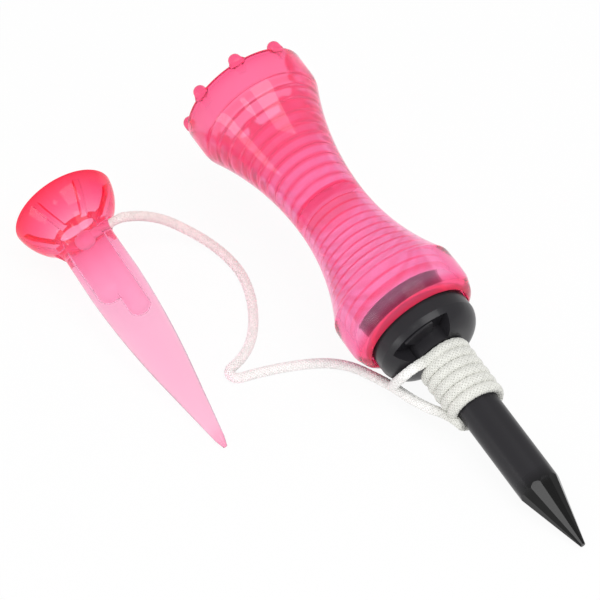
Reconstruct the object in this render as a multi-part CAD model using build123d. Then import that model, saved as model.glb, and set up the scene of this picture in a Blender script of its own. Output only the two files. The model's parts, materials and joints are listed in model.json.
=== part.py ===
"""Two-part magnetic golf tee with a small tee tied to it by a braided cord.

The driver tee is a hollow hourglass of clear pink plastic. A disc magnet in its base holds it on
the round head of a black plastic spike. The cord is wound round the spike and runs to the small
tee. Both tees lie on their sides on a flat surface, with the driver tee along X.

Each tee is modelled upright, with its axis on Z and its point at the origin, and is then laid
down. Lengths are millimetres and angles are degrees.
"""

from build123d import *
import os
from math import atan2, cos, pi, radians, sin, sqrt, tan

# ---- driver tee: heights along its axis from the spike's point, and radii ----
TEE_LENGTH = 83.0            # point of the spike to the tops of the prongs
POINT_R = 0.35               # blunt end of the spike's point
POINT_LENGTH = 9.8           # faceted part of the spike
POINT_FACETS = 12
SHANK_R = 2.85               # plain round shank, up to the winding
SHANK_PLAIN_TOP = 21.9       # the shank is drafted from here up
SHANK_TOP_R = 2.95

HEAD_R = 7.3
HEAD_TOP = 38.8
HEAD_EDGE = 0.3              # the corners broken round the top of the head
BELL_START = 32.65           # the rounded underside of the head springs from the shank here
BELL_NECK = (4.2, 32.75)
BELL_ROUND = (6.05, 33.45)
BAND_LOW = 35.5              # the straight band of the head, from here to its top
POCKET_IN_R = 3.9            # two moulded pockets in the underside of the head
POCKET_OUT_R = 7.0
POCKET_TOP = 35.0
POCKET_SPAN = 80.0
POCKET_TURN = -31.0
POCKET_EDGE = 0.25           # rounding of the step in the pocket
POCKET_STEP_R = 6.4          # the middle of each pocket is less deep
POCKET_STEP_LOW = 34.45
POCKET_STEP_SPAN = 42.0
SPIKE_MAGNET_R = 6.4
SPIKE_MAGNET_THICK = 2.3

SEAT_GAP = 0.05              # between the head and the magnet that it carries
MAGNET_R = 6.9
MAGNET_THICK = 2.35
MAGNET_PLAY = 0.05
RECESS_R = 7.6
LIP_Z = 37.25                # lowest edge of the tee's base, round the recess
BASE_CHAMFER = (8.65, 38.1)
FLANGE_CORNER_R = 9.25       # the edge of the flange that the tee lies on
FLANGE_CORNER_Z = 39.7
FLANGE_R = 9.3
FLANGE_MIDDLE = 41.1
FLANGE_TOP_R = 9.22
FLANGE_TOP = 44.05
FLARE_START = 44.55
WAIST_R = 5.2
WAIST_Z = 59.4
LOWER_ARC_R = 31.85
UPPER_ARC_R = 40.0
CROWN_CORNER = 76.6
CROWN_LOW = (9.22, 77.3)     # the straight band of the crown begins here
CROWN_R = 9.27
RIM_Z = 81.4
RIM_EDGE = 0.35
CUP_R = 8.15
CUP_FLOOR_R = 7.95
CUP_STEP_Z = 77.6            # the smooth cup ends and the stepped bore begins
WALL = 1.1
WEB_LOW = 58.4               # the solid web that closes the waist
WEB_TOP = 60.3
LEDGE_R = 6.55               # the ledge that the magnet stops against
LEDGE_DEEP = 1.3
LOWER_STEPS = 12
UPPER_STEPS = 10
LEAST_STEP = 0.08            # each step of the bores is at least this much narrower
PRONGS = 8
PRONG_R = 0.9
PRONG_STALK_R = 0.76
PRONG_ROOT = 0.6             # how far each prong runs down into the rim
PRONG_RING_R = 8.5
PRONG_TURN = -14.0

# ---- small tee ----
MINI_LENGTH = 44.6
MINI_POINT_R = 0.3
MINI_POINT_MID = (0.7, 1.4)
MINI_POINT_TOP = 3.0         # the blunt point ends here, where the long taper begins
MINI_POINT_TOP_R = 0.95
MINI_TAPER_TOP = (2.4, 12.5)
MINI_SWELL = (3.42, 21.0)    # the shank swells in one long curve through here
MINI_SHANK_TOP = (3.9, 30.0)
MINI_NECK = (3.84, 37.3)
MINI_NECK_CURVE = (4.45, 38.8)
MINI_FLARE = (5.9, 40.8)
MINI_FLARE_CURVE = (6.84, 42.4)
MINI_RIM_R = 7.48
MINI_CUP_R = 6.85
MINI_CUP_BEND = (5.95, 42.7)
MINI_CUP_FLOOR = 40.2
MINI_CUP_FLOOR_R = 3.7
MINI_RIBS = 6
MINI_RIB_TOP = 44.0
MINI_RIB_THICK = 0.95
MINI_RIB_DEEP = 0.8
MINI_RIB_TURN = 12.0
MINI_CORE_R = 1.9            # two side-by-side cores make the hollow in the shank
MINI_CORE_OFFSET = -0.9
MINI_CORE_END = 27.5
MINI_SIDE_CORE_R = 1.5
MINI_SIDE_CORE_OFFSET = 1.0
MINI_SIDE_CORE_END = 23.4
MINI_HOLE_Z = 38.3           # the cord's hole goes across the neck
MINI_HOLE_R = 0.85
MINI_HOLE_TURN = 66.0        # the hole's direction, turned from straight up towards +Y

# ---- where the two tees lie ----
TIP_X = 42.30
TIP_Y = 12.80
MINI_TIP_X = 2.91
MINI_TIP_Y = -16.16
MINI_HEADING = -2.1          # the small tee's axis, turned from the driver tee's

# ---- cord ----
CORD_R = 0.7
KNOT_R = 1.35
WINDING_LOW = 22.5
WINDING_TOP = 32.55
WINDING_TURNS = 6
WINDING_R_LOW = 3.9
WINDING_R_TOP = 4.15
WINDING_GROOVE = 0.35        # how deep the grooves between turns are
TURN_FLAT = (0.3, 0.7)       # the share of its width over which a turn is at its full radius
ENTRY_TURN = -105.0          # where the free cord runs on to the winding
TAIL_TURNS = (-50.0, -72.0, -95.0)    # where the tail leaves it, and two points on its way
TAIL_RADII = (4.9, 6.8)
TAIL_DROPS = (0.45, 0.2)     # how far those two points are below the winding's top
ARC_SHARE = 0.45             # of the shorter run beside a corner, taken up by its arc
CORD_EXIT_R = 4.45           # from the small tee's axis to where the free cord begins
JOINT_GAP = 0.4              # cut in the cord where the small tee turns

# The free cord, from the small tee's neck to the winding. Its first point is worked out from
# the neck, and its third from last point is where the tail meets it.
RUN_POINTS = [
    (-34.4, -8.8, 8.2),
    (-34.3, -5.8, 6.9),
    (-34.1, -2.6, 4.6),
    (-32.7, 0.0, 2.4),
    (-30.2, 1.9, 1.1),
    (-26.4, 2.8, 0.7),
    (-22.4, 2.7, 0.7),
    (-18.4, 1.5, 0.7),
    (-15.2, -0.1, 0.7),
    (-12.3, -2.0, 0.7),
    (-10.0, -4.3, 0.7),
    (-8.7, -6.6, 0.7),
    (-8.1, -8.9, 0.7),
    (-6.2, -8.8, 0.7),
    (-5.8, -6.4, 0.7),
    (-4.8, -2.9, 0.7),
    (-3.4, 0.7, 0.7),
    (-1.7, 3.6, 0.75),
    (0.7, 5.6, 0.9),
    (3.9, 6.5, 1.5),
    (7.6, 7.2, 2.4),
    (11.6, 7.7, 3.0),
    (15.3, 8.7, 3.7),
]


def lying_plane(tip_x, tip_y, low_edge, high_edge, heading):
    """The plane of a tee that lies on two edges, with Z along its axis from point to cup.

    Each edge is a (radius, height) corner of the tee's outline.
    """
    tilt = atan2(high_edge[0] - low_edge[0], high_edge[1] - low_edge[1])
    turn = radians(heading)
    along = (-cos(tilt) * cos(turn), -cos(tilt) * sin(turn), sin(tilt))
    upward = (sin(tilt) * cos(turn), sin(tilt) * sin(turn), cos(tilt))
    axis_z = low_edge[0] * cos(tilt) - low_edge[1] * sin(tilt)
    return Plane(origin=(tip_x, tip_y, axis_z), x_dir=upward, z_dir=along)


SPIKE_EDGE = (SHANK_R, POINT_LENGTH)
FLANGE_EDGE = (FLANGE_CORNER_R, FLANGE_CORNER_Z)
MINI_EDGE = (MINI_POINT_TOP_R, MINI_POINT_TOP)
MINI_RIM_EDGE = (MINI_RIM_R, MINI_LENGTH)
TEE_PLANE = lying_plane(TIP_X, TIP_Y, SPIKE_EDGE, FLANGE_EDGE, 0)
MINI_PLANE = lying_plane(MINI_TIP_X, MINI_TIP_Y, MINI_EDGE, MINI_RIM_EDGE, MINI_HEADING)


def turned(*edges):
    """A solid of revolution about Z from a closed outline of (radius, height) edges."""
    outline = Plane.XZ * make_face(Curve() + list(edges))
    return revolve(outline, Axis.Z)


def turned_outline(points):
    """A solid of revolution about Z from the corners of its (radius, height) outline."""
    return turned(Polyline(*points, close=True))


def cylinder(radius, low, high):
    """A cylinder on Z between two heights."""
    return Pos(0, 0, low) * extrude(Circle(radius), high - low)


def sector(inner_r, outer_r, low, high, span, centre):
    """A part of a ring on Z, span degrees wide and centred on one direction."""
    far = 2 * outer_r
    half = radians(span / 2)
    wedge = Polygon(
        (0, 0), (far, -far * tan(half)), (far, far * tan(half)), align=None
    )
    ring = Circle(outer_r)
    if inner_r > 0:
        ring -= Circle(inner_r)
    return Pos(0, 0, low) * extrude(Rot(0, 0, centre) * (ring & wedge), high - low)


# ---- black spike ----

def drafted_radius(height):
    """The radius of the shank between its plain part and the head."""
    share = (height - SHANK_PLAIN_TOP) / (BELL_START - SHANK_PLAIN_TOP)
    return SHANK_R + (SHANK_TOP_R - SHANK_R) * share


def spike():
    """The spike: a faceted point, a round shank and a flat head with a bell-shaped underside."""
    bell_start = (SHANK_TOP_R, BELL_START)
    band_low = (HEAD_R, BAND_LOW)
    edge_low = (HEAD_R, HEAD_TOP - HEAD_EDGE)
    edge_top = (HEAD_R - HEAD_EDGE, HEAD_TOP)
    plain_top = (SHANK_R, SHANK_PLAIN_TOP)
    stem = turned(
        Polyline((0, HEAD_TOP), (0, 0), (SHANK_R, 0), plain_top, bell_start, BELL_NECK),
        ThreePointArc(BELL_NECK, BELL_ROUND, band_low),
        Polyline(band_low, edge_low, edge_top, (0, HEAD_TOP)),
    )
    stem &= faceted_point()
    for turn in (POCKET_TURN, POCKET_TURN + 180):
        stem -= pocket(turn)
    magnet_floor = HEAD_TOP - SPIKE_MAGNET_THICK
    return stem - cylinder(SPIKE_MAGNET_R, magnet_floor, HEAD_TOP + 1)


def pocket(turn):
    """What is hollow in one pocket of the head: a part of a ring that is less deep in its middle."""
    whole = sector(POCKET_IN_R, POCKET_OUT_R, BELL_START, POCKET_TOP, POCKET_SPAN, turn)
    step = sector(0, POCKET_STEP_R, POCKET_STEP_LOW, HEAD_TOP, POCKET_STEP_SPAN, turn)
    low_edge = step.faces().sort_by(Axis.Z)[0].edges().filter_by(GeomType.CIRCLE)
    return whole - fillet(low_edge, POCKET_EDGE)


def faceted_point():
    """A twelve-sided spire that grows into a block round the rest of the spike."""
    slope = (SHANK_R - POINT_R) / POINT_LENGTH
    wide_z = (2 * HEAD_R - POINT_R) / slope

    def section(height):
        flat_r = POINT_R + slope * height
        shape = RegularPolygon(flat_r, POINT_FACETS, major_radius=False)
        return Pos(0, 0, height) * Rot(0, 0, 180 / POINT_FACETS) * shape

    return loft([section(0), section(wide_z)])


def spike_magnet():
    """The disc set flush into the top of the spike's head."""
    return cylinder(SPIKE_MAGNET_R, HEAD_TOP - SPIKE_MAGNET_THICK, HEAD_TOP)


# ---- clear pink driver tee ----

def outer_radius(height):
    """The radius of the hourglass between its two corners."""
    arc_r = LOWER_ARC_R if height < WAIST_Z else UPPER_ARC_R
    return WAIST_R + arc_r - sqrt(arc_r**2 - (height - WAIST_Z) ** 2)


def hourglass():
    """The outside of the driver tee: base flange, waist and crown, as one solid."""
    flare = (outer_radius(FLARE_START), FLARE_START)
    flare_mid = (FLARE_START + WAIST_Z) / 2
    waist = (WAIST_R, WAIST_Z)
    crown_mid = (CROWN_CORNER + WAIST_Z) / 2
    crown = (outer_radius(CROWN_CORNER), CROWN_CORNER)
    corner = (FLANGE_CORNER_R, FLANGE_CORNER_Z)
    flange = [(FLANGE_R, FLANGE_MIDDLE), (FLANGE_TOP_R, FLANGE_TOP)]
    rim = [(CROWN_R, RIM_Z - RIM_EDGE), (CROWN_R - RIM_EDGE, RIM_Z)]
    return turned(
        Polyline((0, RIM_Z), (0, LIP_Z), (RECESS_R, LIP_Z), BASE_CHAMFER, corner),
        Polyline(corner, *flange, flare),
        ThreePointArc(flare, (outer_radius(flare_mid), flare_mid), waist),
        ThreePointArc(waist, (outer_radius(crown_mid), crown_mid), crown),
        Polyline(crown, CROWN_LOW, *rim, (0, RIM_Z)),
    )


def stepped_bore(start, end, steps, widest):
    """The corners of a bore that narrows in even steps to its end, so that a straight core fits."""
    pitch = (end - start) / steps
    corners = []
    radius = widest
    for step in range(1, steps + 1):
        high = start + step * pitch
        radius = min(outer_radius(high) - WALL, radius - LEAST_STEP)
        corners += [(radius, high - pitch), (radius, high)]
    return corners


def upper_core():
    """What is hollow above the web: a smooth cup, then steps down to the waist."""
    cup = [(0, RIM_Z + 1), (CUP_R, RIM_Z + 1), (CUP_R, RIM_Z), (CUP_FLOOR_R, CUP_STEP_Z)]
    steps = stepped_bore(CUP_STEP_Z, WEB_TOP, UPPER_STEPS, CUP_FLOOR_R)
    return turned_outline(cup + steps + [(0, WEB_TOP)])


def lower_core():
    """What is hollow below the web: steps from the waist, the magnet's seat and the recess."""
    magnet_low = HEAD_TOP + SEAT_GAP
    magnet_top = magnet_low + MAGNET_THICK + MAGNET_PLAY
    seat_r = MAGNET_R + MAGNET_PLAY
    recess = [(0, LIP_Z - 1), (RECESS_R, LIP_Z - 1), (RECESS_R, magnet_low)]
    seat = [(seat_r, magnet_low), (seat_r, magnet_top), (LEDGE_R, magnet_top)]
    ledge = [(LEDGE_R, magnet_top + LEDGE_DEEP)]
    steps = stepped_bore(magnet_top + LEDGE_DEEP, WEB_LOW, LOWER_STEPS, LEDGE_R)
    return turned_outline(recess + seat + ledge + steps + [(0, WEB_LOW)])


def prong():
    """One round-ended prong of the ball seat, at its place over +X."""
    centre_z = TEE_LENGTH - PRONG_R
    stalk = cylinder(PRONG_STALK_R, RIM_Z - PRONG_ROOT, centre_z)
    return Pos(PRONG_RING_R, 0, 0) * (stalk + Pos(0, 0, centre_z) * Sphere(PRONG_R))


def tee_body():
    """The driver tee: a thin hourglass with a web at its waist and eight prongs on its rim."""
    body = hourglass() - upper_core() - lower_core()
    for number in range(PRONGS):
        body += Rot(0, 0, PRONG_TURN + number * 360 / PRONGS) * prong()
    return body


def body_magnet():
    """The disc magnet in the base of the driver tee."""
    low = HEAD_TOP + SEAT_GAP
    return cylinder(MAGNET_R, low, low + MAGNET_THICK)


# ---- small tee ----

def mini_outside():
    """The outside of the small tee: a long rounded point, a neck and a flared cup."""
    point = [(MINI_POINT_R, 0), MINI_POINT_MID, (MINI_POINT_TOP_R, MINI_POINT_TOP)]
    rim = (MINI_RIM_R, MINI_LENGTH)
    return turned(
        Polyline((0, MINI_LENGTH), (0, 0), *point, MINI_TAPER_TOP),
        ThreePointArc(MINI_TAPER_TOP, MINI_SWELL, MINI_SHANK_TOP),
        Line(MINI_SHANK_TOP, MINI_NECK),
        ThreePointArc(MINI_NECK, MINI_NECK_CURVE, MINI_FLARE),
        ThreePointArc(MINI_FLARE, MINI_FLARE_CURVE, rim),
        Line(rim, (0, MINI_LENGTH)),
    )


def mini_cup():
    """The hollow of the small tee's cup, with its ribs left standing."""
    over_top = MINI_LENGTH + 1
    floor = (MINI_CUP_FLOOR_R, MINI_CUP_FLOOR)
    wall = [MINI_CUP_BEND, (MINI_CUP_R, MINI_LENGTH), (MINI_CUP_R, over_top)]
    cup = turned_outline([(0, MINI_CUP_FLOOR), floor] + wall + [(0, over_top)])

    bend_r, bend_z = MINI_CUP_BEND
    rib_floor = (MINI_CUP_FLOOR_R - MINI_RIB_DEEP, MINI_CUP_FLOOR)
    rib_bend = (bend_r - MINI_RIB_DEEP, bend_z)
    rib_top = [(MINI_CUP_R - MINI_RIB_DEEP, MINI_RIB_TOP), (MINI_CUP_R, MINI_RIB_TOP)]
    clear = [(0, MINI_CUP_FLOOR - 1), rib_floor, rib_bend] + rib_top
    inside = turned_outline(clear + [(MINI_CUP_R, over_top), (0, over_top)])
    rib_height = 2 * (MINI_LENGTH - MINI_CUP_FLOOR)
    blade = Pos(MINI_RIM_R / 2, 0, MINI_LENGTH) * Box(MINI_RIM_R, MINI_RIB_THICK, rib_height)
    for number in range(MINI_RIBS):
        turn = MINI_RIB_TURN + number * 360 / MINI_RIBS
        cup -= (Rot(0, 0, turn) * blade) - inside
    return cup


def mini_core():
    """The hollow down the small tee's shank: two round cores of unequal length, side by side."""
    main = Pos(MINI_CORE_OFFSET, 0, 0) * round_core(MINI_CORE_R, MINI_CORE_END)
    side = Pos(MINI_SIDE_CORE_OFFSET, 0, 0) * round_core(MINI_SIDE_CORE_R, MINI_SIDE_CORE_END)
    return Rot(0, 0, MINI_HOLE_TURN) * (main + side)


def round_core(radius, end):
    """A round-ended core from the cup's floor down to one height."""
    ball = Pos(0, 0, end + radius) * Sphere(radius)
    return cylinder(radius, end + radius, MINI_CUP_FLOOR + 0.5) + ball


def mini_tee():
    """The small tee, with the cord's hole across its neck."""
    hole = Pos(0, 0, MINI_HOLE_Z) * Rot(0, 0, MINI_HOLE_TURN) * Rot(0, 90, 0) * extrude(
        Circle(MINI_HOLE_R), MINI_RIM_R, both=True
    )
    return mini_outside() - mini_cup() - mini_core() - hole


# ---- cord ----

def cord_knot():
    """The knot inside the small tee's neck, and the short length of cord through its hole."""
    reach = CORD_EXIT_R - JOINT_GAP / 2
    stub = extrude(Circle(CORD_R), reach)
    across = Pos(0, 0, MINI_HOLE_Z) * Rot(0, 0, MINI_HOLE_TURN) * Rot(0, 90, 0)
    return across * (stub + Sphere(KNOT_R))


def cord_exit():
    """Where the free cord begins, just outside the small tee's neck."""
    turn = radians(MINI_HOLE_TURN)
    reach = CORD_EXIT_R + JOINT_GAP / 2
    spot = (reach * cos(turn), reach * sin(turn), MINI_HOLE_Z)
    return MINI_PLANE.from_local_coords(Vector(*spot))


def arc_radii(points):
    """The largest arc radius at each inner corner that its two runs have room for."""
    radii = []
    for before, corner, after in zip(points, points[1:], points[2:]):
        run_in = Vector(*corner) - Vector(*before)
        run_out = Vector(*after) - Vector(*corner)
        half_turn = radians(run_in.get_angle(run_out)) / 2
        radii.append(ARC_SHARE * min(run_in.length, run_out.length) / tan(half_turn))
    return radii


def tube(name, points, radius):
    """A round tube along straight runs joined by arcs, with its facts printed."""
    radii = arc_radii(points)
    path = FilletPolyline(*points, radius=radii)
    solid = sweep(Plane(origin=path @ 0, z_dir=path % 0) * Circle(radius), path=path)
    expected = pi * radius**2 * path.length
    print(name, "length %.1f" % path.length, "volume ratio %.4f" % (solid.volume / expected))
    print(name, "arc radii", ", ".join("%.1f" % r for r in radii))
    return solid


def cord_run():
    """The free cord between the small tee and the lowest turn of the winding."""
    exit_point = cord_exit()
    points = [(exit_point.X, exit_point.Y, exit_point.Z)] + RUN_POINTS + [winding_entry()]
    return tube("cord_run", points, CORD_R)


def on_winding(height, turn, radius):
    """A point of the winding in the lying tee's place, from its height and direction."""
    local = Vector(radius * cos(radians(turn)), radius * sin(radians(turn)), height)
    spot = TEE_PLANE.from_local_coords(local)
    return (spot.X, spot.Y, spot.Z)


def winding_entry():
    """Where the free cord runs into the lowest turn."""
    return on_winding(WINDING_LOW + CORD_R, ENTRY_TURN, SHANK_R + CORD_R)


def cord_tail():
    """The cord's end, from the top turn down to the free cord that it is tied to."""
    points = [on_winding(WINDING_TOP - CORD_R, TAIL_TURNS[0], SHANK_TOP_R + CORD_R)]
    for turn, radius, drop in zip(TAIL_TURNS[1:], TAIL_RADII, TAIL_DROPS):
        points.append(on_winding(WINDING_TOP - drop, turn, radius))
    return tube("cord_tail", points + [RUN_POINTS[-3]], CORD_R)


def cord_winding():
    """Six turns of cord round the shank, as one sleeve with a groove between turns."""
    pitch = (WINDING_TOP - WINDING_LOW) / WINDING_TURNS
    corners = [(drafted_radius(height), height) for height in (WINDING_TOP, WINDING_LOW)]
    for turn in range(WINDING_TURNS):
        low = WINDING_LOW + turn * pitch
        share = turn / (WINDING_TURNS - 1)
        radius = WINDING_R_LOW + (WINDING_R_TOP - WINDING_R_LOW) * share
        corners.append((radius - WINDING_GROOVE, low))
        corners += [(radius, low + part * pitch) for part in TURN_FLAT]
    corners.append((WINDING_R_TOP - WINDING_GROOVE, WINDING_TOP))
    return turned_outline(corners)


def write(name, solid):
    """Write one sub-part as a STEP file named after it."""
    export_step(solid, os.path.join("parts", name + ".step"))


os.makedirs("parts", exist_ok=True)
write("spike", TEE_PLANE * spike())
write("spike_magnet", TEE_PLANE * spike_magnet())
write("body_magnet", TEE_PLANE * body_magnet())
write("tee_body", TEE_PLANE * tee_body())
write("mini_tee", MINI_PLANE * mini_tee())
write("cord_knot", MINI_PLANE * cord_knot())
write("cord_run", cord_run())
write("cord_winding", TEE_PLANE * cord_winding())
write("cord_tail", cord_tail())
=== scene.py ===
"""Looks for the magnetic golf tee with its small tee on a braided cord.

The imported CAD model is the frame. Each tee has a frame of its own, worked out from its ball seat's
mount: the origin at the tee's point, Z along its axis to its cup, X up and Y across. Lengths in the
tees' own frames are millimetres, and everything else is metres.
"""

import json
from math import cos, pi, radians, sin, sqrt

import bmesh
import bpy
from mathutils import Matrix, Vector

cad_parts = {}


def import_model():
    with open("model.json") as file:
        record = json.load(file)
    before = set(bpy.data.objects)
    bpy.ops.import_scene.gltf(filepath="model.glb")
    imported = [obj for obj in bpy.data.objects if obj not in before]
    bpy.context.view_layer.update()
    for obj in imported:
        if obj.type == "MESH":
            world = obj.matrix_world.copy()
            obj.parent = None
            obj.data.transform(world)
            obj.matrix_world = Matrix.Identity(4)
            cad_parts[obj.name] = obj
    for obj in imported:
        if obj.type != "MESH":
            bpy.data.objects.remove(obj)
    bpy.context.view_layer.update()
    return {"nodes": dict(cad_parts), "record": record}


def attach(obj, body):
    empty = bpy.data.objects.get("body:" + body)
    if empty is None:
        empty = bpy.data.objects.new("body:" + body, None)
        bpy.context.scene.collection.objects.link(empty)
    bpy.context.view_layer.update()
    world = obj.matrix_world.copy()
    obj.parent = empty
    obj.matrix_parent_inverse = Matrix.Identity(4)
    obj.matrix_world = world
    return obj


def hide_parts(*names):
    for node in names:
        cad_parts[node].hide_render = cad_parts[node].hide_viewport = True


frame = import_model()
MM = 0.001

# ---- camera ----
CAMERA_AZIMUTH = 56.65
CAMERA_ELEVATION = 45.93
CAMERA_TARGET = Vector((-7.94, 2.74, 8.0)) * MM
CAMERA_DISTANCE = 402.0 * MM
CAMERA_LENS = 180.0
SENSOR = 36.0

# ---- tees, in their own frames (mm) ----
TEE_LENGTH = 83.0
MINI_LENGTH = 44.6
POINT_GLOSSY = 0.108         # shares of the tee's length: the point is glossy up to here
POINT_SATIN = 0.138          # and satin from here up
WINDING_LOW = 22.5
WINDING_TOP = 32.55
WINDING_TURNS = 6
TURN_POINTS = 16             # points of the cord's line in each turn
WINDING_PITCH = 1.53         # the cord climbs this much a turn, until it meets the head
ENTRY_TURN = -105.0          # where the cord runs on to the winding
TAIL_TURNS = (-50.0, -72.0, -95.0)    # where the tail leaves it, and two points on its way
TAIL_RADII = (4.9, 6.8)
TAIL_DROPS = (0.45, 0.2)     # how far those two points are below the winding's top

# ---- driver tee's body, in its own frame (mm) ----
LIP_Z = 37.25
BASE = [                     # outside of the base: radius, height, and how deep the tint is
    (8.65, 38.1, 0.8),
    (9.25, 39.7, 0.0),
    (9.3, 41.1, 0.0),
    (9.22, 44.05, 0.0),
]
CROWN = [                    # outside of the crown, in the same way, below its rim
    (9.22, 77.3, 0.35),
    (9.25, 79.8, 0.4),
]
RECESS_R = 7.6
SEAT_R = 6.95
SEAT_LOW = 38.85
SEAT_TOP = 41.25
LEDGE_R = 6.55
LEDGE_DEEP = 1.3
FLARE_START = 44.55
WALL_STEPS = 40              # points up the hourglass curve
WAIST_R = 5.2
WAIST_Z = 59.4
LOWER_ARC_R = 31.85
UPPER_ARC_R = 40.0
CROWN_CORNER = 76.6
CROWN_R = 9.27
RIM_Z = 81.4
CUP_R = 8.15
CUP_FLOOR_R = 7.95
CUP_STEP_Z = 77.6
WALL = 1.1
WEB_LOW = 58.4
WEB_TOP = 60.3
WEB_BAND = 0.42              # how deep the tint is round the web
EDGE = 0.05                  # half the height over which it starts and ends
LOWER_STEPS = 12
UPPER_STEPS = 10
LEAST_STEP = 0.08
LOWER_SHADE_LINE = 0.22            # share of a step, on each side of its corner, with a deeper tint as painted shade
UPPER_SHADE_LINE = 0.3
LINE_BAND = 0.7              # how deep that tint is: painted shade at the steps' corners; the web's faces get it too
FADE_STEPS = 7               # the mouth's tint fades over this many steps
EASE = 0.3                   # rounding of the corners
EASE_SHARE = 0.45            # and the most that it takes of a run beside one
SMOOTH_ANGLE = 12            # a bend of fewer degrees isn't rounded
BODY_SEGMENTS = 144
PRONG_SEGMENTS = 24
SHARP_ANGLE = 40
PRONGS = 8
PRONG_R = 0.96
PRONG_BAND = 0.65            # how deep their tint is
FLARE_HEIGHT = 0.7           # how far up its root spreads along the rim
FLARE_WIDE = 1.7             # and how much wider it gets there
PRONG_RING_R = 8.45
PRONG_ROOT = 0.8
PRONG_TURN = -14.0

# ---- plastic ----
SKIN_CLEAR = 0.93            # clearness of the outside: the rest of 1 is haze
SEAT_CLEAR = 0.9             # of the magnet's seat and the web
PRONG_CLEAR = 0.8
BORE_CLEAR = 0.65            # of the bores' walls
LIP_CLEAR = 0.6
WAIST_GLOSS = 0.42           # polish of the body from its waist up
PRONG_GLOSS = 0.2
MINI_GLOSS = 0.35
PINK_DENSITY = 95.0          # how fast thick plastic takes up light
PALE_PINK_DENSITY = 45.0
PINK_DEEP = (1.0, 0.0, 0.44)   # the colour that thick plastic lets through
PLASTIC_BEND = 1.2           # little bending of light, so that the far side stays plain to see
MINI_BEND = 1.1
SKIN_TINT = (1.0, 0.6, 0.76)   # of the polished skin, which shows most at the edges
PINK_TINT = (1.0, 0.62, 0.82)
DEEP_TINT = (1.0, 0.22, 0.42)
RED_TINT = (1.0, 0.06, 0.16)
MINI_SKIN_TINT = (1.0, 0.7, 0.8)
MINI_TINTS = [               # from the small tee's point to its rim
    (0.0, (1.0, 0.50, 0.67)),
    (0.08, (1.0, 0.77, 0.88)),
    (0.5, (1.0, 0.87, 0.95)),
    (0.7, (1.0, 0.78, 0.90)),
    (0.8, (1.0, 0.58, 0.75)),
    (0.86, (1.0, 0.48, 0.66)),
    (0.93, (1.0, 0.16, 0.32)),
    (1.0, (1.0, 0.05, 0.11)),
]
# painted shade: the glossy point is blacker than the satin shank, for the dark surroundings that its
# facets mirror
SHADED_POINT_BLACK = (0.003, 0.003, 0.003)
POINT_ROUGH = 0.06
SATIN_BLACK = (0.02, 0.019, 0.022)
SATIN_ROUGH = 0.3

# ---- cord (mm) ----
CORD_D = 1.4
CORD_EXIT_R = 4.2            # from the small tee's axis to the free cord's first point
CORD_CLEAR_R = 5.6           # and to its second, from where it bends
CORD_CLEAR_DROP = 0.25       # the second point is this much nearer to the small tee's tip
CORD_HOLE_Z = 38.3
CORD_HOLE_TURN = 66.0
RUN_POINTS = [
    (-34.4, -8.8, 8.2),
    (-34.3, -5.8, 6.9),
    (-34.1, -2.6, 4.6),
    (-32.7, 0.0, 2.4),
    (-30.2, 1.9, 1.1),
    (-26.4, 2.8, 0.7),
    (-22.4, 2.7, 0.7),
    (-18.4, 1.5, 0.7),
    (-15.2, -0.1, 0.7),
    (-12.3, -2.0, 0.7),
    (-10.0, -4.3, 0.7),
    (-8.7, -6.6, 0.7),
    (-8.1, -8.9, 0.7),
    (-6.2, -8.8, 0.7),
    (-5.8, -6.4, 0.7),
    (-4.8, -2.9, 0.7),
    (-3.4, 0.7, 0.7),
    (-1.7, 3.6, 0.75),
    (0.7, 5.6, 0.9),
    (3.9, 6.5, 1.5),
    (7.6, 7.2, 2.4),
    (11.6, 7.7, 3.0),
    (15.3, 8.7, 3.7),
]
LINE_STEP = 0.12             # from one ring of the braid to the next
STRANDS = 8                  # strands of the braid that go each way round
STRAND_SIDES = 6
STRAND_PITCH = 5.6           # length of a strand's turn, in radii of the cord
STRAND_WIDE = 0.78           # half its width, as a share of the room that it has
STRAND_OUT = 0.84            # the middle of a strand, in radii of the cord
STRAND_WAVE = 0.06           # how far it goes over and under the others, in the same way
STRAND_THICK = 0.13
CORE_SHARE = 0.85            # the core's radius, in radii of the cord
CORE_SIDES = 12
WINDING_SWELL = 0.14         # the cord's turns are this much fatter
WINDING_FLAT = 0.32          # and their outer half is this much flatter
WINDING_R = 3.5              # the middle of its turns
WOUND_R = 4.0                # nearer to the spike's axis than this, the cord is on the winding
FREE_R = 5.2                 # and further out than this it is free
NECK_IN = 0.14               # the cord's thinning at the small tee's hole
NECK_LONG = 2.2 * MM         # and the length over which it ends
ROSY_SHARE = 0.25            # the share of the cord, from the small tee's end, that is rosy
ROSY_YARN = (0.97, 0.89, 0.86)
WHITE_YARN = (1.0, 0.99, 0.97)
# painted shade: the yarn is greyer where the winding's tight turns shade each other
SHADED_WOUND_YARN = (0.8, 0.8, 0.75)


def mount(name):
    """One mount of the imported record."""
    return next(m for m in frame["record"]["mounts"] if m["name"] == name)


def tee_frame(seat, length):
    """The matrix from a tee's own millimetres to the row frame, from its ball seat."""
    along = Vector(mount(seat)["axis"]).normalized()
    across = along.cross(Vector((0, 0, 1))).normalized()
    up = across.cross(along)
    turn = Matrix((up, across, along)).transposed().to_4x4()
    point = Vector(mount(seat)["pos_m"]) - along * length * MM
    return Matrix.Translation(point) @ turn @ Matrix.Scale(MM, 4)


TEE = tee_frame("ball_seat", TEE_LENGTH)
MINI = tee_frame("small_ball_seat", MINI_LENGTH)
TEE_INVERSE = TEE.inverted()


def around(radius, turn, height):
    """A point round a tee's axis, in the tee's own frame. turn is in degrees from straight up."""
    return Vector((radius * cos(radians(turn)), radius * sin(radians(turn)), height))


# ---- materials ----

def material(name):
    """A node material with its tree and its shader."""
    made = bpy.data.materials.new(name)
    made.use_nodes = True
    return made, made.node_tree, made.node_tree.nodes["Principled BSDF"]


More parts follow.
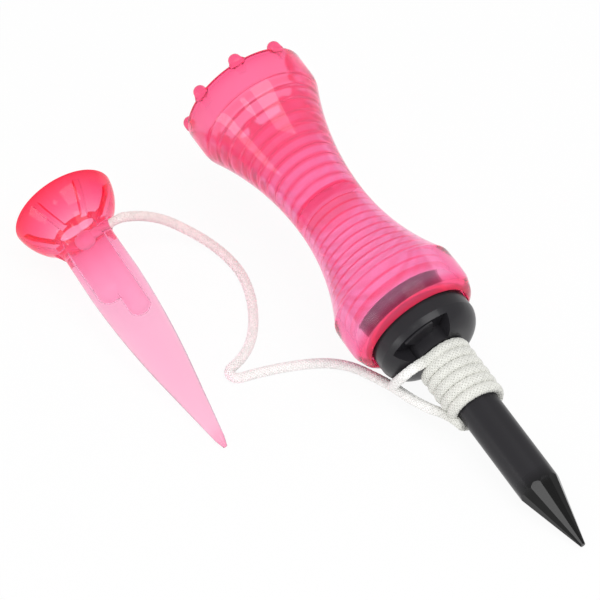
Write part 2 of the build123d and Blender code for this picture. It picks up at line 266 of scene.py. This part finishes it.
def ramp(tree, stops):
    """A colour ramp node with these (place, colour) stops."""
    made = tree.nodes.new("ShaderNodeValToRGB")
    steps = made.color_ramp.elements
    while len(steps) < len(stops):
        steps.new(1.0)
    for step, (place, colour) in zip(steps, stops):
        step.position = place
        step.color = (*colour, 1.0)
    return made


def noise(tree, scale, detail=2.0):
    """A noise texture that stays with the piece as it moves."""
    where = tree.nodes.new("ShaderNodeTexCoord")
    made = tree.nodes.new("ShaderNodeTexNoise")
    made.inputs["Scale"].default_value = scale
    made.inputs["Detail"].default_value = detail
    tree.links.new(where.outputs["Object"], made.inputs["Vector"])
    return made


def along(tree, seat, length):
    """How far along a tee a place is: 0 at its point and 1 at its ball seat."""
    here = mount(seat)
    axis = Vector(here["axis"]).normalized()
    where = tree.nodes.new("ShaderNodeTexCoord")
    offset = tree.nodes.new("ShaderNodeVectorMath")
    offset.operation = "SUBTRACT"
    offset.inputs[1].default_value = Vector(here["pos_m"]) - axis * length * MM
    tree.links.new(where.outputs["Object"], offset.inputs[0])
    share = tree.nodes.new("ShaderNodeVectorMath")
    share.operation = "DOT_PRODUCT"
    share.inputs[1].default_value = axis / (length * MM)
    tree.links.new(offset.outputs[0], share.inputs[0])
    return share.outputs["Value"]


def clear_plastic(name, density, bend, coat, skin):
    """Clear tinted plastic: a tint at each surface, and a little more where it is thick."""
    made, tree, shader = material(name)
    shader.inputs["Roughness"].default_value = 0.12
    shader.inputs["IOR"].default_value = bend
    shader.inputs["Transmission Weight"].default_value = SKIN_CLEAR
    shader.inputs["Coat Weight"].default_value = coat
    shader.inputs["Coat Roughness"].default_value = 0.03
    shader.inputs["Coat Tint"].default_value = (*skin, 1.0)
    shader.inputs["Coat IOR"].default_value = 1.45
    volume = tree.nodes.new("ShaderNodeVolumeAbsorption")
    volume.inputs["Color"].default_value = (*PINK_DEEP, 1.0)
    volume.inputs["Density"].default_value = density
    tree.links.new(volume.outputs[0], tree.nodes["Material Output"].inputs["Volume"])
    return made, tree, shader


def tee_plastic():
    """The driver tee's pink, deeper along the steps of its bores, as painted shade for the dark
    lines at the steps.
    """
    made, tree, shader = clear_plastic("pink_plastic", PINK_DENSITY, PLASTIC_BEND, 1.0, SKIN_TINT)
    bands = tree.nodes.new("ShaderNodeAttribute")
    bands.attribute_name = "band"
    tint = ramp(tree, [(0.0, PINK_TINT), (0.5, DEEP_TINT), (1.0, RED_TINT)])
    tree.links.new(bands.outputs["Fac"], tint.inputs["Fac"])
    tree.links.new(tint.outputs["Color"], shader.inputs["Base Color"])
    for socket, attribute in (("Coat Weight", "gloss"), ("Transmission Weight", "clear")):
        value = tree.nodes.new("ShaderNodeAttribute")
        value.attribute_name = attribute
        tree.links.new(value.outputs["Fac"], shader.inputs[socket])
    return made


def mini_plastic():
    """The small tee's pink, which deepens from its point to its cup."""
    made, tree, shader = clear_plastic(
        "pale_pink_plastic", PALE_PINK_DENSITY, MINI_BEND, MINI_GLOSS, MINI_SKIN_TINT
    )
    tint = ramp(tree, MINI_TINTS)
    tree.links.new(along(tree, "small_ball_seat", MINI_LENGTH), tint.inputs["Fac"])
    tree.links.new(tint.outputs["Color"], shader.inputs["Base Color"])
    return made


def black_plastic():
    """Satin black moulding, faintly uneven, with a glossier point whose blacker colour is painted
    shade for the dark surroundings that it mirrors.
    """
    made, tree, shader = material("black_plastic")
    height = along(tree, "ball_seat", TEE_LENGTH)
    black = ramp(tree, [(POINT_GLOSSY, SHADED_POINT_BLACK), (POINT_SATIN, SATIN_BLACK)])
    tree.links.new(height, black.inputs["Fac"])
    tree.links.new(black.outputs["Color"], shader.inputs["Base Color"])
    rough = ramp(tree, [(POINT_GLOSSY, (POINT_ROUGH,) * 3), (POINT_SATIN, (SATIN_ROUGH,) * 3)])
    tree.links.new(height, rough.inputs["Fac"])
    tree.links.new(rough.outputs["Color"], shader.inputs["Roughness"])
    shader.inputs["Specular IOR Level"].default_value = 0.25
    cloud = noise(tree, 900.0)
    bump = tree.nodes.new("ShaderNodeBump")
    bump.inputs["Strength"].default_value = 0.06
    bump.inputs["Distance"].default_value = 0.0001
    tree.links.new(cloud.outputs["Fac"], bump.inputs["Height"])
    tree.links.new(bump.outputs["Normal"], shader.inputs["Normal"])
    return made


def magnet_steel():
    """Dull dark plating on the disc magnets."""
    made, tree, shader = material("magnet_steel")
    cloud = noise(tree, 600.0)
    plating = ramp(tree, [(0.3, (0.05, 0.045, 0.05)), (0.7, (0.08, 0.075, 0.08))])
    tree.links.new(cloud.outputs["Fac"], plating.inputs["Fac"])
    tree.links.new(plating.outputs["Color"], shader.inputs["Base Color"])
    shader.inputs["Metallic"].default_value = 0.2
    shader.inputs["Roughness"].default_value = 0.6
    return made


def cord_braid():
    """White synthetic yarn: rosy beside the small tee, and greyer on the winding, where the grey is
    painted shade between its tight turns.
    """
    made, tree, shader = material("cord_braid")
    cloud = noise(tree, 1500.0)
    yarn = ramp(tree, [(0.3, (0.88,) * 3), (0.7, (1.0,) * 3)])
    place = tree.nodes.new("ShaderNodeAttribute")
    place.attribute_name = "tint"
    # rosy yarn, white yarn, and painted shade on the winding
    tint = ramp(tree, [(0.0, ROSY_YARN), (0.5, WHITE_YARN), (1.0, SHADED_WOUND_YARN)])
    mix = tree.nodes.new("ShaderNodeMix")
    mix.data_type = "RGBA"
    mix.blend_type = "MULTIPLY"
    mix.inputs["Factor"].default_value = 1.0
    tree.links.new(cloud.outputs["Fac"], yarn.inputs["Fac"])
    tree.links.new(place.outputs["Fac"], tint.inputs["Fac"])
    tree.links.new(yarn.outputs["Color"], mix.inputs["A"])
    tree.links.new(tint.outputs["Color"], mix.inputs["B"])
    tree.links.new(mix.outputs["Result"], shader.inputs["Base Color"])
    shader.inputs["Roughness"].default_value = 0.6
    shader.inputs["Sheen Weight"].default_value = 0.3
    return made


PINK = tee_plastic()
PALE_PINK = mini_plastic()
BLACK = black_plastic()
STEEL = magnet_steel()
BRAID = cord_braid()

for node, finish in (
    ("mini_tee", PALE_PINK),
    ("spike", BLACK),
    ("spike_magnet", STEEL),
    ("body_magnet", STEEL),
    ("cord_knot", BRAID),
):
    frame["nodes"][node].data.materials.clear()
    frame["nodes"][node].data.materials.append(finish)


# ---- driver tee's body ----

def outer_radius(height):
    """The radius of the hourglass between its two corners."""
    arc_r = LOWER_ARC_R if height < WAIST_Z else UPPER_ARC_R
    return WAIST_R + arc_r - sqrt(arc_r**2 - (height - WAIST_Z) ** 2)


def outside():
    """The outside of the driver tee's body, from its base to its rim, as (radius, height, band)."""
    long = CROWN_CORNER - FLARE_START
    heights = [FLARE_START + long * step / WALL_STEPS for step in range(WALL_STEPS + 1)]
    heights += [edge + side * EDGE for edge in (WEB_LOW, WEB_TOP) for side in (-1, 1)]
    wall = [(outer_radius(z), z, WEB_BAND if WEB_LOW < z < WEB_TOP else 0) for z in sorted(heights)]
    return [(RECESS_R, LIP_Z, 1)] + BASE + wall + CROWN + [(CROWN_R, RIM_Z, 0.6)]


def bore(start, end, steps, widest, line, mouth_band):
    """A stepped bore from its mouth inwards. line is the share of each step that has a deeper tint,
    painted shade for the dark line at its corner.

    mouth_band is the tint at the mouth, which fades over the first steps.
    """
    pitch = (end - start) / steps
    corners = []
    radius = widest
    for step in range(1, steps + 1):
        high = start + step * pitch
        # painted shade: each step's corner gets the deeper tint of a dark line
        corners.append((radius, high - pitch, LINE_BAND))
        radius = min(outer_radius(high) - WALL, radius - LEAST_STEP)
        tread = mouth_band * max(1 - step / FADE_STEPS, 0)
        corners += [(radius, high - pitch, LINE_BAND), (radius, high - pitch * (1 - line), tread)]
        corners.append((radius, high - pitch * line, tread))
    return corners + [(radius, end, LINE_BAND)]


def upper_bore():
    """The inside of the driver tee above its web, from the rim inwards."""
    cup = [(CUP_R, RIM_Z, 0.5), (CUP_R - 0.1, 79.5, 0.4), (CUP_FLOOR_R, CUP_STEP_Z + 0.3, 0.4)]
    steps = bore(CUP_STEP_Z, WEB_TOP, UPPER_STEPS, CUP_FLOOR_R, UPPER_SHADE_LINE, 1.0)
    return cup + steps + [(0, WEB_TOP, LINE_BAND)]


def lower_bore():
    """The inside below the web, from the web out to the base."""
    seat = [(LEDGE_R, SEAT_TOP, 0), (SEAT_R, SEAT_TOP, 0), (SEAT_R, SEAT_LOW, 0)]
    steps = bore(SEAT_TOP + LEDGE_DEEP, WEB_LOW, LOWER_STEPS, LEDGE_R, LOWER_SHADE_LINE, 0.0)
    return [(0, WEB_LOW, LINE_BAND)] + steps[::-1] + seat + [(RECESS_R, SEAT_LOW, 1)]


def eased(corners, reach):
    """An outline with its sharp corners rounded, never by more than reach."""
    points = []
    count = len(corners)
    for index, (r, z, band) in enumerate(corners):
        before = Vector(corners[index - 1][:2])
        here = Vector((r, z))
        after = Vector(corners[(index + 1) % count][:2])
        back = before - here
        on = after - here
        if r == 0 or back.angle(-on, 0) < radians(SMOOTH_ANGLE):
            points.append((r, z, band))
            continue
        size = min(reach, back.length * EASE_SHARE, on.length * EASE_SHARE)
        a = here + back.normalized() * size
        b = here + on.normalized() * size
        for share in (0, 1 / 3, 2 / 3, 1):
            spot = a * (1 - share) ** 2 + here * 2 * share * (1 - share) + b * share**2
            points.append((spot.x, spot.y, band))
    return points


def is_bore(radius, height):
    """Whether a point of the body is on the wall of a bore or of the magnet's seat."""
    if height > CROWN_CORNER or height < FLARE_START:
        return radius < CUP_R + 0.02
    return radius < outer_radius(height) - WALL / 2


def polish(radius, height):
    """How glossy the body is: most from its waist up, least at its base, and nil in its bores."""
    if is_bore(radius, height):
        return 0.0
    return WAIST_GLOSS * min(max((height - FLARE_START) / (WAIST_Z - FLARE_START), 0), 1)


def clearness(radius, height):
    """How clear the body is: hazy at its lip and bores, but not at the web and the seat."""
    if height < SEAT_LOW - 0.5:
        return LIP_CLEAR
    if not is_bore(radius, height):
        return SKIN_CLEAR
    plain = height < SEAT_TOP + 0.1 or WEB_LOW - 0.1 < height < WEB_TOP + 0.1
    return SEAT_CLEAR if plain else BORE_CLEAR


def turned_ring(mesh, radius, height, band, segments):
    """One ring of a turned piece, with its tint, gloss and clearness, or one point on the axis."""
    values = {"band": band, "gloss": polish(radius, height), "clear": clearness(radius, height)}
    turns = [0] if radius == 0 else [360 * n / segments for n in range(segments)]
    ring = []
    for turn in turns:
        vert = mesh.verts.new(around(radius, turn, height))
        for name, value in values.items():
            vert[mesh.verts.layers.float[name]] = value
        ring.append(vert)
    return ring


def lathe(name, outline, segments, closed):
    """A round piece turned from an outline of (radius, height, band)."""
    mesh = bmesh.new()
    for layer in ("band", "gloss", "clear"):
        mesh.verts.layers.float.new(layer)
    rings = [turned_ring(mesh, *spot, segments) for spot in outline]
    pairs = list(zip(rings, rings[1:]))
    if closed:
        pairs.append((rings[-1], rings[0]))
    for low, high in pairs:
        for n in range(segments):
            after = (n + 1) % segments
            corners = [low[n % len(low)], low[after % len(low)]]
            corners += [high[after % len(high)], high[n % len(high)]]
            corners = list(dict.fromkeys(corners))
            if len(corners) > 2:
                mesh.faces.new(corners)
    bmesh.ops.recalc_face_normals(mesh, faces=mesh.faces)
    return smooth_piece(name, mesh)


def smooth_piece(name, mesh):
    """A smooth-shaded object made from a bmesh, which is freed."""
    data = bpy.data.meshes.new(name)
    mesh.to_mesh(data)
    mesh.free()
    data.shade_smooth()
    made = bpy.data.objects.new(name, data)
    bpy.context.scene.collection.objects.link(made)
    return made


def prong_outline():
    """A round-headed prong with a flared root, as (radius, height, band), upright at the origin."""
    centre = TEE_LENGTH - PRONG_R
    root = [(0, -PRONG_ROOT), (0.3, -PRONG_ROOT), (0.8, -0.02), (0.93, 0.12)]
    root = [(radius, RIM_Z + rise) for radius, rise in root]
    turns = [radians(t) for t in range(0, 90, 10)]
    head = [(PRONG_R * cos(t), centre + PRONG_R * sin(t)) for t in turns]
    return [(radius, height, PRONG_BAND) for radius, height in root + head + [(0, TEE_LENGTH)]]


def flare(mesh, way):
    """Spreads a prong's root along the rim, in the direction way."""
    for vert in mesh.vertices:
        share = min(max((RIM_Z + FLARE_HEIGHT - vert.co.z) / FLARE_HEIGHT, 0), 1)
        vert.co += way * vert.co.dot(way) * (FLARE_WIDE - 1) * share**2


def tint_prongs(mesh):
    """Gives the prongs their tint. The union leaves their points less clear than the cup."""
    layers = {name: mesh.attributes[name].data for name in ("band", "gloss", "clear")}
    for vert in mesh.vertices:
        if vert.co.z > CUP_STEP_Z and layers["clear"][vert.index].value < BORE_CLEAR - 0.01:
            layers["band"][vert.index].value = PRONG_BAND
            layers["gloss"][vert.index].value = PRONG_GLOSS
            layers["clear"][vert.index].value = PRONG_CLEAR


def tee_shell():
    """The driver tee's body with its prongs, as one closed shell."""
    outline = outside() + upper_bore() + lower_bore()
    shell = lathe("clear_tee_body", eased(outline, EASE), BODY_SEGMENTS, True)
    pegs = [lathe("prong", prong_outline(), PRONG_SEGMENTS, False) for _ in range(PRONGS)]
    for number, peg in enumerate(pegs):
        turn = PRONG_TURN + 360 * number / PRONGS
        flare(peg.data, around(1, turn + 90, 0))
        peg.data.transform(Matrix.Translation(around(PRONG_RING_R, turn, 0)))
        join = shell.modifiers.new("prong", "BOOLEAN")
        join.operation = "UNION"
        join.object = peg
    ready = bpy.context.evaluated_depsgraph_get()
    joined = bpy.data.meshes.new_from_object(shell.evaluated_get(ready))
    shell.modifiers.clear()
    shell.data = joined
    tint_prongs(joined)
    for peg in pegs:
        bpy.data.objects.remove(peg)
    shell.data.shade_smooth()
    shell.data.set_sharp_from_angle(angle=radians(SHARP_ANGLE))
    shell.data.transform(TEE)
    shell.data.materials.clear()
    shell.data.materials.append(PINK)
    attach(shell, "driver_tee")
    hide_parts("tee_body")


tee_shell()


# ---- cord ----

def winding_points():
    """Points round the shank, from the lowest turn to the top one."""
    last = TAIL_TURNS[0] - 360 * WINDING_TURNS
    steps = TURN_POINTS * WINDING_TURNS
    low = WINDING_LOW + CORD_D / 2
    high = WINDING_TOP - CORD_D / 2
    points = []
    for step in range(steps + 1):
        turn = ENTRY_TURN + (last - ENTRY_TURN) * step / steps
        height = min(low + WINDING_PITCH * (ENTRY_TURN - turn) / 360, high)
        points.append(TEE @ around(WINDING_R, turn, height))
    return points


def cord_route():
    """The whole cord, from the small tee's neck to its end at the hitch."""
    start = MINI @ around(CORD_EXIT_R, CORD_HOLE_TURN, CORD_HOLE_Z)
    clear = MINI @ around(CORD_CLEAR_R, CORD_HOLE_TURN, CORD_HOLE_Z - CORD_CLEAR_DROP)
    run = [Vector(p) * MM for p in RUN_POINTS]
    tail = [
        TEE @ around(radius, turn, WINDING_TOP - drop)
        for turn, radius, drop in zip(TAIL_TURNS[1:], TAIL_RADII, TAIL_DROPS)
    ]
    return [start, clear] + run + winding_points() + tail + [run[-3]]


def nurbs_line(name, points):
    """Points along the NURBS spline that has these control points."""
    curve = bpy.data.curves.new(name, "CURVE")
    curve.dimensions = "3D"
    spline = curve.splines.new("NURBS")
    spline.points.add(len(points) - 1)
    for spot, point in zip(spline.points, points):
        spot.co = (*point, 1.0)
    spline.order_u = 3
    spline.use_endpoint_u = True
    spline.resolution_u = 8
    holder = bpy.data.objects.new(name, curve)
    mesh = bpy.data.meshes.new_from_object(holder)
    line = [v.co.copy() for v in mesh.vertices]
    bpy.data.meshes.remove(mesh)
    bpy.data.objects.remove(holder)
    bpy.data.curves.remove(curve)
    return line


def evenly(line, step):
    """The same line with points one step apart."""
    even = [line[0].copy()]
    left = step
    for a, b in zip(line, line[1:]):
        long = (b - a).length
        done = 0.0
        while long - done >= left:
            done += left
            even.append(a + (b - a) * (done / long))
            left = step
        left -= long - done
    return even


def sides_along(line):
    """Two directions across the line at each point, carried along it without twist."""
    tangents = [(b - a).normalized() for a, b in zip(line, line[1:])]
    tangents.append(tangents[-1])
    first = tangents[0].cross(Vector((0, 0, 1))).normalized()
    frames = []
    for tangent in tangents:
        first = (first - tangent * first.dot(tangent)).normalized()
        frames.append((first.copy(), tangent.cross(first)))
    return frames


def on_winding(spot):
    """1 where the cord is on the winding, 0 where it is free, and between at its two ends."""
    local = TEE_INVERSE @ spot
    near = (FREE_R - sqrt(local.x**2 + local.y**2)) / (FREE_R - WOUND_R)
    return min(max(near, 0), 1)


def yarn_tint_and_shade(index, count, wound):
    """0 beside the small tee, 0.5 along the free cord and 1 on the winding, where the yarn takes its
    painted shade.
    """
    free = min(index / count / ROSY_SHARE, 1) / 2
    return free + (1 - free) * wound


def pressed(point, wound):
    """A point of the cord, flattened where its turns are pulled tight on the winding."""
    local = TEE_INVERSE @ point
    radius = sqrt(local.x**2 + local.y**2)
    if wound == 0 or radius < WINDING_R:
        return point
    tight = WINDING_R + (radius - WINDING_R) * (1 - WINDING_FLAT * wound)
    local.x *= tight / radius
    local.y *= tight / radius
    return TEE @ local


def slimmer(distance):
    """The cord is pulled a little thinner where it leaves the small tee's hole."""
    return 1 - NECK_IN * max(1 - distance / NECK_LONG, 0)


def strand_rings(mesh, line, frames, radius, way, number):
    """The rings of one strand that goes round in direction way, or of the core where way is 0."""
    layer = mesh.verts.layers.float["tint"]
    step = (line[1] - line[0]).length
    pitch = STRAND_PITCH * radius
    width = STRAND_WIDE * pi * radius / STRANDS
    sides = STRAND_SIDES if way else CORE_SIDES
    rings = []
    for index, (spot, (u, v)) in enumerate(zip(line, frames)):
        wound = on_winding(spot)
        thick = radius * (1 + WINDING_SWELL * wound) * slimmer(index * step)
        turn = way * 2 * pi * index * step / pitch + 2 * pi * number / STRANDS
        phase = (0 if way > 0 else pi) + pi * number
        over = cos(STRANDS * 2 * pi * index * step / pitch + phase)
        outward = u * cos(turn) + v * sin(turn)
        sideways = v * cos(turn) - u * sin(turn)
        centre = spot + outward * thick * (STRAND_OUT + STRAND_WAVE * over) if way else spot
        sizes = (width, radius * STRAND_THICK) if way else (thick * CORE_SHARE, thick * CORE_SHARE)
        ring = []
        for corner in range(sides):
            angle = 2 * pi * corner / sides
            offset = sideways * (sizes[0] * cos(angle)) + outward * (sizes[1] * sin(angle))
            vert = mesh.verts.new(pressed(centre + offset, wound))
            vert[layer] = yarn_tint_and_shade(index, len(line), wound)
            ring.append(vert)
        rings.append(ring)
    return rings


def braid(name, line, radius):
    """A braided cord along a line: strands that go both ways round a core, over and under."""
    mesh = bmesh.new()
    mesh.verts.layers.float.new("tint")
    frames = sides_along(line)
    strands = [(way, number) for way in (1, -1) for number in range(STRANDS)]
    for way, number in strands + [(0, 0)]:
        rings = strand_rings(mesh, line, frames, radius, way, number)
        mesh.faces.new(rings[0][::-1])
        mesh.faces.new(rings[-1])
        for low, high in zip(rings, rings[1:]):
            for corner in range(len(low)):
                after = (corner + 1) % len(low)
                mesh.faces.new((low[corner], low[after], high[after], high[corner]))
    return smooth_piece(name, mesh)


route = cord_route()
CORD_LINE = evenly(nurbs_line("route", route), LINE_STEP * MM)
cord = braid("braided_cord", CORD_LINE, CORD_D / 2 * MM)
cord.data.materials.append(BRAID)
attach(cord, "spike_and_cord")
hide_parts("cord_run", "cord_winding", "cord_tail")


# ---- stage ----

WORLD_STRENGTH = 0.62        # on the object: the world is plain white where it is seen
FLOOR_WHITE = 0.94           # share of plain white in the floor: the rest keeps the shadow
FLOOR_COLOUR = (0.9, 0.9, 0.9, 1.0)
FLOOR_SIZE = 4.0
FLOOR_DROP = 0.00002         # the floor is this far below the part


def larger(tree, first, second):
    """The larger of two values, each an output or a number."""
    made = tree.nodes.new("ShaderNodeMath")
    made.operation = "MAXIMUM"
    for value, socket in zip((first, second), made.inputs):
        if isinstance(value, float):
            socket.default_value = value
        else:
            tree.links.new(value, socket)
    return made.outputs[0]


def floor():
    """A white floor, also where the plastic shows or mirrors it, that keeps the part's shadow."""
    bpy.ops.mesh.primitive_plane_add(size=FLOOR_SIZE, location=(0, 0, -FLOOR_DROP))
    made = bpy.context.object
    made.name = "floor"
    finish, tree, shader = material("floor_white")
    shader.inputs["Base Color"].default_value = FLOOR_COLOUR
    shader.inputs["Roughness"].default_value = 0.9
    shader.inputs["Specular IOR Level"].default_value = 0.0
    glow = tree.nodes.new("ShaderNodeEmission")
    glow.inputs["Strength"].default_value = 1.0
    path = tree.nodes.new("ShaderNodeLightPath")
    seen = larger(tree, path.outputs["Is Camera Ray"], path.outputs["Is Transmission Ray"])
    seen = larger(tree, seen, path.outputs["Is Glossy Ray"])
    part = tree.nodes.new("ShaderNodeMath")
    part.operation = "MULTIPLY"
    part.inputs[1].default_value = FLOOR_WHITE
    tree.links.new(seen, part.inputs[0])
    mix = tree.nodes.new("ShaderNodeMixShader")
    tree.links.new(part.outputs[0], mix.inputs[0])
    tree.links.new(shader.outputs[0], mix.inputs[1])
    tree.links.new(glow.outputs[0], mix.inputs[2])
    tree.links.new(mix.outputs[0], tree.nodes["Material Output"].inputs["Surface"])
    made.data.materials.append(finish)


def world():
    """Soft white light all round, at full white where it is seen, also through the plastic."""
    made = bpy.data.worlds.new("studio")
    made.use_nodes = True
    tree = made.node_tree
    path = tree.nodes.new("ShaderNodeLightPath")
    seen = larger(tree, path.outputs["Is Camera Ray"], path.outputs["Is Transmission Ray"])
    strength = larger(tree, seen, WORLD_STRENGTH)
    tree.links.new(strength, tree.nodes["Background"].inputs["Strength"])
    tree.nodes["Background"].inputs["Color"].default_value = (1, 1, 1, 1)
    bpy.context.scene.world = made


def softbox(name, place, wide, tall, power):
    """A rectangular lamp that faces the object."""
    lamp = bpy.data.lights.new(name, "AREA")
    lamp.shape = "RECTANGLE"
    lamp.size = wide
    lamp.size_y = tall
    lamp.energy = power
    made = bpy.data.objects.new(name, lamp)
    bpy.context.scene.collection.objects.link(made)
    made.location = place
    made.rotation_euler = (CAMERA_TARGET - Vector(place)).to_track_quat("-Z", "Y").to_euler()


def camera():
    """The camera, at its azimuth, elevation and distance from its target."""
    a = radians(CAMERA_AZIMUTH)
    e = radians(CAMERA_ELEVATION)
    back = Vector((sin(a) * cos(e), -cos(a) * cos(e), sin(e)))
    lens = bpy.data.cameras.new("camera")
    lens.lens = CAMERA_LENS
    lens.sensor_width = SENSOR
    made = bpy.data.objects.new("camera", lens)
    made.location = CAMERA_TARGET + back * CAMERA_DISTANCE
    made.rotation_euler = back.to_track_quat("Z", "Y").to_euler()
    bpy.context.scene.collection.objects.link(made)
    bpy.context.scene.camera = made


floor()
world()
# Each softbox: where it is, its width and height, and its power in watts.
softbox("key", (0.2, 0.05, 0.4), 0.28, 0.28, 1.0)
softbox("point", (0.209, -0.259, 0.388), 0.07, 0.07, 0.07)
softbox("side", (0.05, -0.45, 0.08), 0.28, 0.14, 0.5)
camera()
bpy.context.scene.view_settings.view_transform = "Standard"
